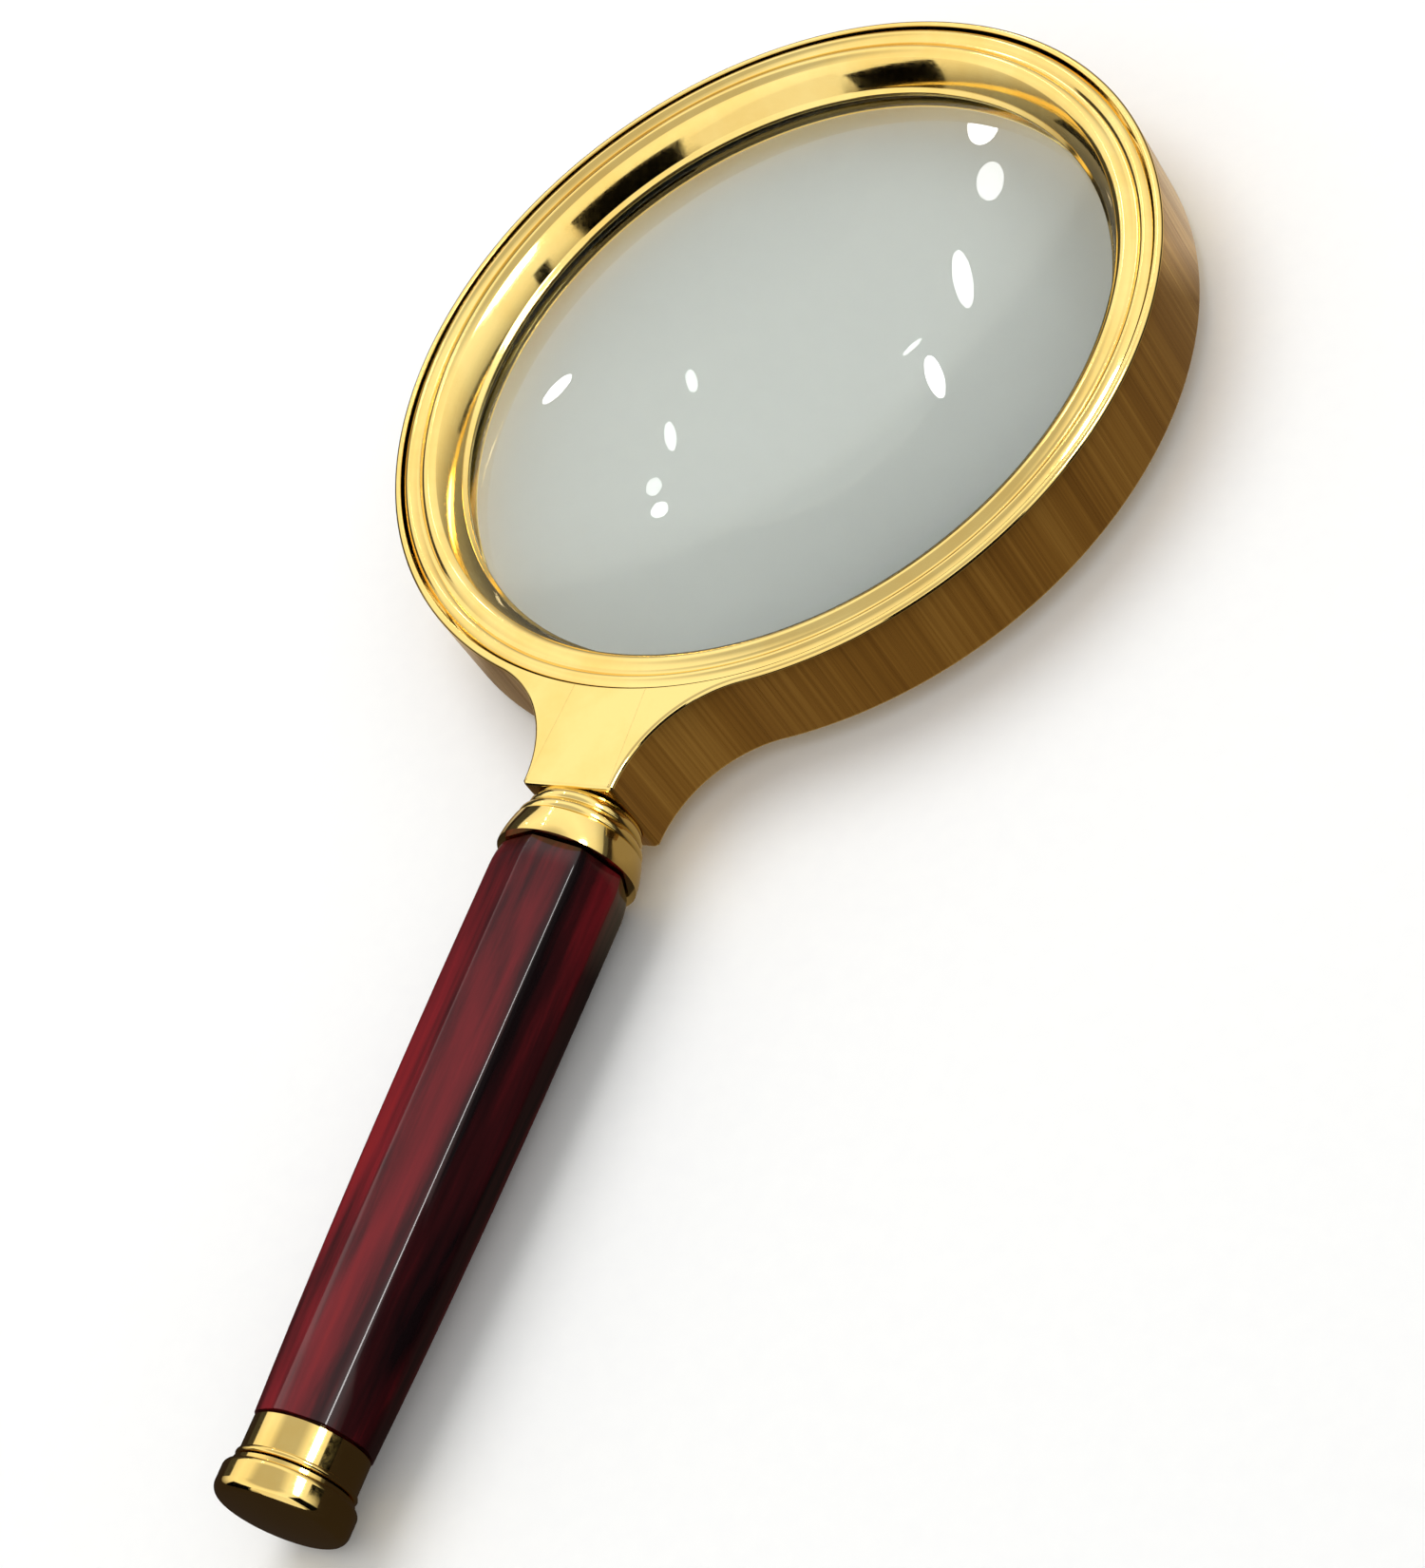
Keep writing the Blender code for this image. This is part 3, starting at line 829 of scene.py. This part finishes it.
def makeCollar():
    # a straight sleeve with a bevelled mouth, a full bead at the cap's end and the recess for
    # the tenon, carried round the handle's axis
    length = collarHigh[1] - collarLow[1]
    radius, rise, edge = collar["radius"], collar["beadRise"], collar["edge"]
    bead = length - collar["beadWidth"]
    t = np.linspace(0, 1, collar["beadSteps"])
    swell = rise * np.sin(np.pi * t) ** collar["beadFullness"]
    hump = np.stack([radius + swell, bead + collar["beadWidth"] * t], -1)
    recess = handle["tenon"] + recessGap
    depth = handle["tenonLength"] + recessGap
    outline = np.concatenate([
        np.array([[recess, 0.0], [radius - edge, 0.0], [radius, edge]]), hump,
        np.array([[boreRadius, length], [boreRadius, depth], [recess, depth]]),
    ])
    thing = turnedOnHandle("collar_ring", outline, collar["steps"], collarHigh[1], [giltPolished])
    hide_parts("end_collar")
    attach(thing, "magnifier")


cap = {
    "waistRadius": 6.75 * mm,
    "waistLength": 0.4 * mm,
    "upperRound": 0.8 * mm,
    "lowerRound": 1.3 * mm,
    "domeRise": 0.5 * mm,
    "holeDepth": 3.1 * mm,
    "seatRadius": 4.3 * mm,
    "seatDepth": 0.8 * mm,
    "upperSweep": (80, 0),  # degrees round the flange's roundings
    "lowerSweep": (0, -75),
    "arcSteps": 17,
    "domeSteps": 25,
    "steps": 256,
}


def makeCap():
    # waist, two unequal roundings of the flange, a shallow dome, and inside it the tapped hole
    # and the washer's seat, carried round the handle's axis
    length, flange = capHigh[1] - capLow[1], capHigh[0]
    upper = np.radians(np.linspace(*cap["upperSweep"], cap["arcSteps"]))
    lower = np.radians(np.linspace(*cap["lowerSweep"], cap["arcSteps"]))
    above, below = cap["upperRound"], cap["lowerRound"]
    upperArc = np.stack([
        flange - above + above * np.cos(upper),
        cap["waistLength"] + above - above * np.sin(upper),
    ], -1)
    domeStart = length - cap["domeRise"] - below
    lowerArc = np.stack([
        flange - below + below * np.cos(lower), domeStart - below * np.sin(lower),
    ], -1)
    edgeRadius, edgeAlong = lowerArc[-1]
    t = np.linspace(1, 0, cap["domeSteps"])[1:]
    dome = np.stack([edgeRadius * t, edgeAlong + (length - edgeAlong) * (1 - t**2)], -1)
    hole = cap["holeDepth"]
    outline = np.concatenate([
        np.array([[cap["seatRadius"], 0.0], [cap["waistRadius"], 0.0]]),
        upperArc, lowerArc, dome,
        np.array([
            [0.0, hole], [boreRadius, hole], [boreRadius, cap["seatDepth"]],
            [cap["seatRadius"], cap["seatDepth"]],
        ]),
    ])
    thing = turnedOnHandle("cap_button", outline, cap["steps"], capHigh[1], [giltPolished])
    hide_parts("end_cap")
    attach(thing, "cap")


washer = {
    "boreRound": 0.08 * mm,
    "edgeRound": 0.12 * mm,
    "steps": 96,
}


def makeWasher():
    # a flat band with rounded edges, carried round the handle's axis
    outer, length = washerHigh[0], washerHigh[1] - washerLow[1]
    bore, edge = washer["boreRound"], washer["edgeRound"]
    outline = roundedOutline([
        (boreRadius, 0.0, bore), (outer, 0.0, edge),
        (outer, length, edge), (boreRadius, length, bore),
    ])
    thing = turnedOnHandle("washer_disc", outline, washer["steps"], washerHigh[1], [steelZinced])
    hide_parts("cap_washer")
    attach(thing, "cap_carrier")


rod = {
    "radius": 2.0 * mm,
    "pitch": 0.7 * mm,
    "threadLength": 7.0 * mm,
    "threadDepth": 0.32 * mm,
    "tipShare": 0.80,  # radius of the bevelled ends
    "aroundSteps": 32,
    "alongSteps": 2200,
}


def makeRod():
    # radius falls from the crest by a triangle wave of angle plus distance, which is a helix;
    # the middle stretch between the two threads is plain
    length = rodHigh[1] - rodLow[1]
    angle = np.linspace(0, 2 * np.pi, rod["aroundSteps"], endpoint=False)[:, None]
    along = np.linspace(0, length, rod["alongSteps"])[None]
    phase = (along / rod["pitch"] + angle / (2 * np.pi)) % 1.0
    thread = rod["threadDepth"] * np.abs(2 * phase - 1)
    nearest = np.minimum(along, length - along)
    inside = np.clip((rod["threadLength"] - nearest) / rod["pitch"], 0, 1)
    plain = rod["threadDepth"] / 2
    radius = rod["radius"] - thread * inside - plain * (1 - inside)
    radius = radius * np.clip(rod["tipShare"] + nearest / rod["pitch"], 0, 1)
    radius[:, [0, -1]] = 0.0
    points = np.stack([
        radius * np.sin(angle), rodHigh[1] - along + 0 * angle, axisZ + radius * np.cos(angle)
    ], -1)
    thing = gridMesh("tie_rod_threaded", points, True, False, [steelZinced], weld=True)
    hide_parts("tie_rod")
    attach(thing, "magnifier")


makeFerrule()
makeCollar()
makeCap()
makeWasher()
makeRod()
print("handle fittings made")


# Camera, floor and lights

camera = {
    "aim": (14.16 * mm, -6.98 * mm, 8.15 * mm),
    "azimuth": 53.443,
    "elevation": 44.561,
    "roll": -39.212,
    "distance": 461.7 * mm,
    "lens": 97.957,  # focal length and sensor in millimetres
    "sensor": 36.0,
    "clip": (0.01, 20.0),
}


def makeCamera():
    data = bpy.data.cameras.new("camera")
    thing = bpy.data.objects.new("camera", data)
    bpy.context.scene.collection.objects.link(thing)
    a, e = math.radians(camera["azimuth"]), math.radians(camera["elevation"])
    back = Vector((math.sin(a) * math.cos(e), -math.cos(a) * math.cos(e), math.sin(e)))
    facing = (-back).to_track_quat("-Z", "Y").to_matrix()
    rolled = facing @ Matrix.Rotation(math.radians(camera["roll"]), 3, "Z")
    thing.matrix_world = Matrix.Translation(
        Vector(camera["aim"]) + back * camera["distance"]
    ) @ rolled.to_4x4()
    data.lens = camera["lens"]
    data.sensor_width = camera["sensor"]
    data.clip_start, data.clip_end = camera["clip"]
    data.dof.use_dof = False
    bpy.context.scene.camera = thing


def glowMaterial(name, colour, strength):
    material = bpy.data.materials.new(name)
    material.use_nodes = True
    tree = material.node_tree
    tree.nodes.clear()
    glow = addNode(tree, "ShaderNodeEmission", Color=(*colour, 1.0), Strength=strength)
    out = tree.nodes.new("ShaderNodeOutputMaterial")
    tree.links.new(glow.outputs[0], out.inputs["Surface"])
    return material


floor = {
    "half": 6.0,
    "paper": (0.88, 0.88, 0.87),
    "shade": 0.85,
    "grain": (400.0, 4.0),
    "roughness": 0.9,
    "specular": 0.1,
    "near": (0.30, 0.235, 0.155),  # painted reflection and bounce tones that mirrored and bounced rays find under the object
    "beyond": (0.80, 0.70, 0.55),
    "far": (0.030, 0.022, 0.018),
    "fade": (60 * mm, 78 * mm),
    "beyondAlong": (-0.6, 0.8, 0.0),
    "beyondFrom": (-14 * mm, -5 * mm),
}


def between(tree, value, limits):
    node = addNode(tree, "ShaderNodeMapRange", Value=value)
    node.inputs["From Min"].default_value, node.inputs["From Max"].default_value = limits
    return node.outputs[0]


def makeFloor():
    # white paper to the eye and through the glass; mirrored and bounced rays find instead a glow of
    # painted reflection and bounce light, brown near the ring, lighter behind it and almost black far
    # away
    half = floor["half"]
    corners = half * np.array([[[-1, -1, 0], [-1, 1, 0]], [[1, -1, 0], [1, 1, 0]]], float)
    material, tree, shader = newMaterial("floor_paper")
    grain = noise(tree, objectPlace(tree), *floor["grain"])
    shader.inputs["Roughness"].default_value = floor["roughness"]
    shader.inputs["Specular IOR Level"].default_value = floor["specular"]
    paper = twoTones(tree, grain, (0.0, 1.0), grey(floor["shade"]), floor["paper"])
    tree.links.new(paper, shader.inputs["Base Color"])
    place = objectPlace(tree, centre=ringPlace)
    away = addNode(tree, "ShaderNodeVectorMath", Vector=place)
    away.operation = "LENGTH"
    along = addNode(tree, "ShaderNodeVectorMath", Vector=place)
    along.operation = "DOT_PRODUCT"
    along.inputs[1].default_value = floor["beyondAlong"]
    behind = between(tree, along.outputs["Value"], floor["beyondFrom"])
    fade = between(tree, away.outputs["Value"], floor["fade"])
    close = mixColours(tree, behind, floor["near"], floor["beyond"])
    tone = mixColours(tree, fade, close, floor["far"])
    # painted reflection and painted bounce light: a glow seen only by mirrored and bounced rays, in
    # place of the lit paper
    paintedGlow = addNode(tree, "ShaderNodeEmission", Color=tone, Strength=1.0)
    rays = tree.nodes.new("ShaderNodeLightPath").outputs
    mirrored = maths(tree, "SUBTRACT", rays["Is Glossy Ray"], rays["Is Transmission Ray"])
    bounced = maths(tree, "MAXIMUM", mirrored, rays["Is Diffuse Ray"])
    either = addNode(tree, "ShaderNodeMixShader", Fac=bounced)
    tree.links.new(shader.outputs[0], either.inputs[1])
    tree.links.new(paintedGlow.outputs[0], either.inputs[2])
    tree.links.new(either.outputs[0], tree.nodes["Material Output"].inputs["Surface"])
    thing = gridMesh("floor", corners, False, False, [material])
    if thing.data.polygons[0].normal.z < 0:
        thing.data.flip_normals()


def directionOf(azimuth, elevation):
    a, e = math.radians(azimuth), math.radians(elevation)
    return np.array([math.cos(a) * math.cos(e), math.sin(a) * math.cos(e), math.sin(e)])


# azimuth from +X and elevation as seen from the ring, in degrees; distance and size in metres
softboxes = {
    "key": {"at": (143, 61), "distance": 1.1, "size": (0.9, 0.9), "power": 7.0, "lights": True},
    "edge": {"at": (17, 40), "distance": 0.88, "size": (0.42, 0.22), "power": 3.6},
    "spot_high": {"at": (120.8, 30.1), "distance": 1.2, "size": (0.034, 0.080), "power": 0.10},
    "spot_next": {"at": (120.6, 35.7), "distance": 1.2, "size": (0.030, 0.075), "power": 0.045},
    "spot_tall": {"at": (123.4, 43.5), "distance": 1.2, "size": (0.022, 0.110), "power": 0.06},
    "spot_low": {"at": (127.6, 50.5), "distance": 1.2, "size": (0.020, 0.080), "power": 0.08},
    "spot_left": {"at": (148.6, 29.3), "distance": 1.2, "size": (0.040, 0.025), "power": 0.03},
}


def makeSoftboxes():
    for name, box in softboxes.items():
        data = bpy.data.lights.new(name, "AREA")
        data.shape = "ELLIPSE"
        data.size, data.size_y = box["size"]
        data.energy = box["power"]
        thing = bpy.data.objects.new(name, data)
        bpy.context.scene.collection.objects.link(thing)
        towards = directionOf(*box["at"])
        thing.location = ringPlace + towards * box["distance"]
        thing.rotation_mode = "QUATERNION"
        thing.rotation_quaternion = Vector(-towards).to_track_quat("-Z", "Y")
        lights = box.get("lights", False)  # the key lights; the others are only mirrored
        thing.visible_camera = False
        thing.visible_transmission = not lights
        thing.visible_glossy = not lights
        thing.visible_diffuse = lights


cardColour = (1.0, 0.97, 0.92)
flags = {
    "flag_side": {"at": (-36, 16), "distance": 0.5, "size": (0.34, 0.34), "glow": 0.0},
    "flag_gap": {"at": (0.5, 12), "distance": 0.5, "size": (0.055, 0.20), "glow": 0.0},
    "flag_foot": {"at": (-126, 8), "distance": 0.5, "size": (0.25, 0.30), "glow": 0.0},
    "card_foot": {"at": (-84, 12), "distance": 0.6, "size": (0.50, 0.40), "glow": 1.0},
    "card_side": {"at": (32, 3), "distance": 0.9, "size": (0.80, 0.14), "glow": 0.10},
    "flag_left": {"at": (158, 9), "distance": 0.9, "size": (0.70, 0.36), "glow": 0.06},
}


def makeFlags():
    # cards, from black to white, that only polished surfaces see
    for name, flag in flags.items():
        out = directionOf(*flag["at"])
        across = np.cross([0.0, 0.0, 1.0], out)
        across /= np.linalg.norm(across)
        up = np.cross(out, across)
        centre = ringPlace + out * flag["distance"]
        half = np.array(flag["size"]) / 2
        signs = np.array([[[-1, -1], [-1, 1]], [[1, -1], [1, 1]]])
        corners = centre + (signs[..., :1] * half[0]) * across + (signs[..., 1:] * half[1]) * up
        card = glowMaterial(name, cardColour, flag["glow"])
        thing = gridMesh(name, corners, False, False, [card])
        thing.visible_camera = False
        thing.visible_diffuse = False
        thing.visible_transmission = False
        thing.visible_shadow = False


sky = {
    "mirrored": [  # share of the height from straight down to straight up, and brightness
        (0.48, (0.16, 0.13, 0.10)), (0.52, (0.34, 0.32, 0.28)), (0.66, (1.00, 0.98, 0.93)),
        (0.80, (1.24, 1.23, 1.18)), (0.90, (1.12, 1.10, 1.05)), (0.955, (0.62, 0.61, 0.60)),
    ],
    "lighting": (0.78, 0.78, 0.77),
}


def makeSky():
    # even light, but mirrored rays find tones that change with height
    world = bpy.data.worlds.new("studio")
    bpy.context.scene.world = world
    world.use_nodes = True
    tree = world.node_tree
    direction = tree.nodes.new("ShaderNodeTexCoord").outputs["Generated"]
    height = addNode(tree, "ShaderNodeSeparateXYZ", Vector=direction).outputs["Z"]
    share = maths(tree, "MULTIPLY_ADD", height, 0.5)
    share.node.inputs[2].default_value = 0.5
    tone = ramp(tree, share, sky["mirrored"])
    glossy = tree.nodes.new("ShaderNodeLightPath").outputs["Is Glossy Ray"]
    light = mixColours(tree, glossy, sky["lighting"], tone)
    tree.links.new(light, tree.nodes["Background"].inputs["Color"])


makeCamera()
makeFloor()
makeSoftboxes()
makeFlags()
makeSky()
bpy.context.scene.view_settings.view_transform = "Standard"
print("camera, floor and lights set")
